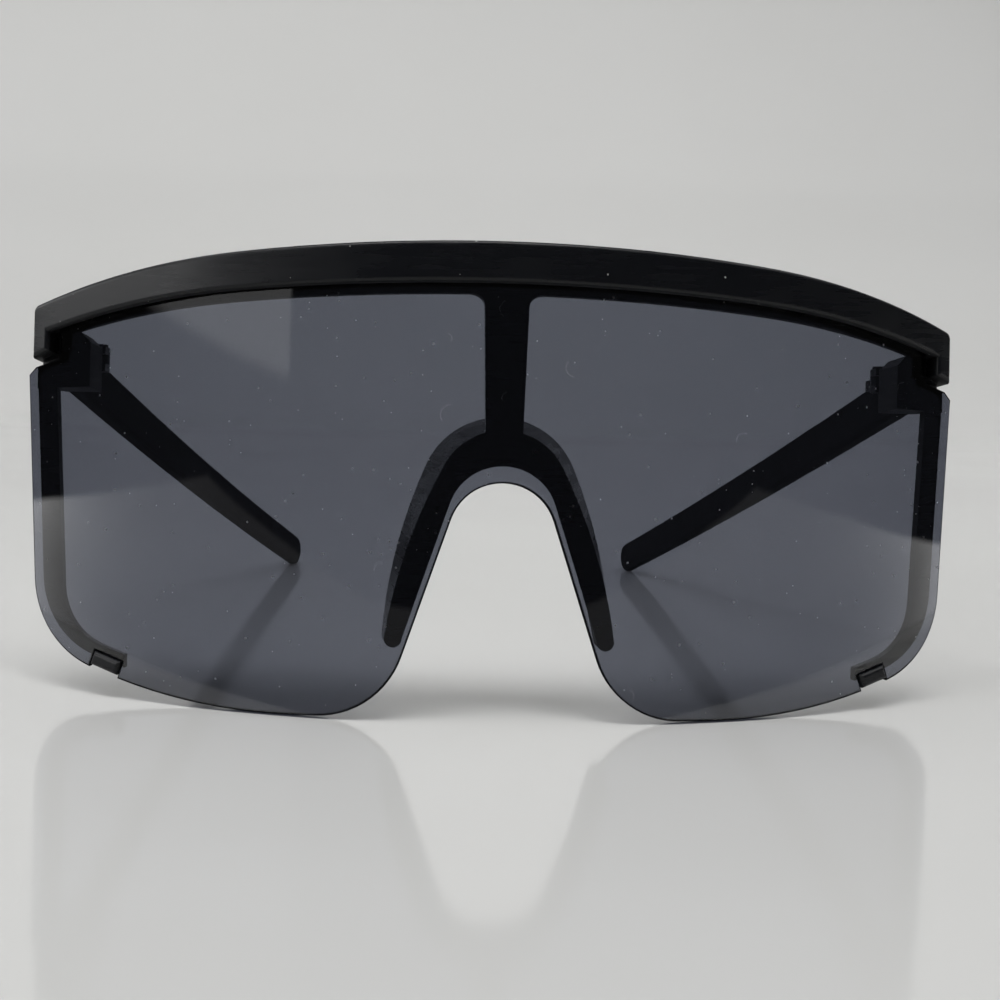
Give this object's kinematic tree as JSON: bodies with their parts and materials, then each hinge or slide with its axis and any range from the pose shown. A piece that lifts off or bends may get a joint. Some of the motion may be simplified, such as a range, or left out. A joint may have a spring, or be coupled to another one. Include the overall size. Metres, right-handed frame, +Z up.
{
  "type": "shield sunglasses",
  "caption": "Wrap-round shield sunglasses: a smoke lens hung from a black brow bar with side rims, centre bar and nose arch, and temples that fold on screwed hinges.",
  "frame": {"origin": "centre of the footprint on the table, as the open sunglasses stand on the lens's lower edge and the temple tips", "axes": "+Z up, +Y from the lens to the temple tips, +X to the wearer's left"},
  "size_m": [0.148, 0.165, 0.0703],
  "materials": {
    "frame_plastic": "satin black moulded nylon",
    "lens_tint": "polished smoke-grey polycarbonate",
    "hinge_metal": "blackened stamped steel, satin",
    "screw_steel": "blackened turned steel"
  },
  "bodies": {
    "front": {"front_frame": "frame_plastic", "shield_lens": "lens_tint", "left_front_hinge": "hinge_metal", "left_hinge_screw": "screw_steel", "left_front_leaf_screw_upper": "screw_steel", "left_front_leaf_screw_lower": "screw_steel", "right_front_hinge": "hinge_metal", "right_hinge_screw": "screw_steel", "right_front_leaf_screw_upper": "screw_steel", "right_front_leaf_screw_lower": "screw_steel"},
    "left_arm": {"left_temple": "frame_plastic", "left_temple_hinge": "hinge_metal", "left_temple_leaf_screw_front": "screw_steel", "left_temple_leaf_screw_rear": "screw_steel"},
    "right_arm": {"right_temple": "frame_plastic", "right_temple_hinge": "hinge_metal", "right_temple_leaf_screw_front": "screw_steel", "right_temple_leaf_screw_rear": "screw_steel"}
  },
  "joints": [
    {"name": "left_temple_fold", "type": "hinge", "parent": "front", "child": "left_arm", "pos_m": [0.0638, -0.04568, 0.05054], "axis": [0, 0.1201, 0.9928], "range_deg": [0, 78]},
    {"name": "right_temple_fold", "type": "hinge", "parent": "front", "child": "right_arm", "pos_m": [-0.0638, -0.04568, 0.05054], "axis": [0, -0.1201, -0.9928], "range_deg": [0, 72]}
  ]
}
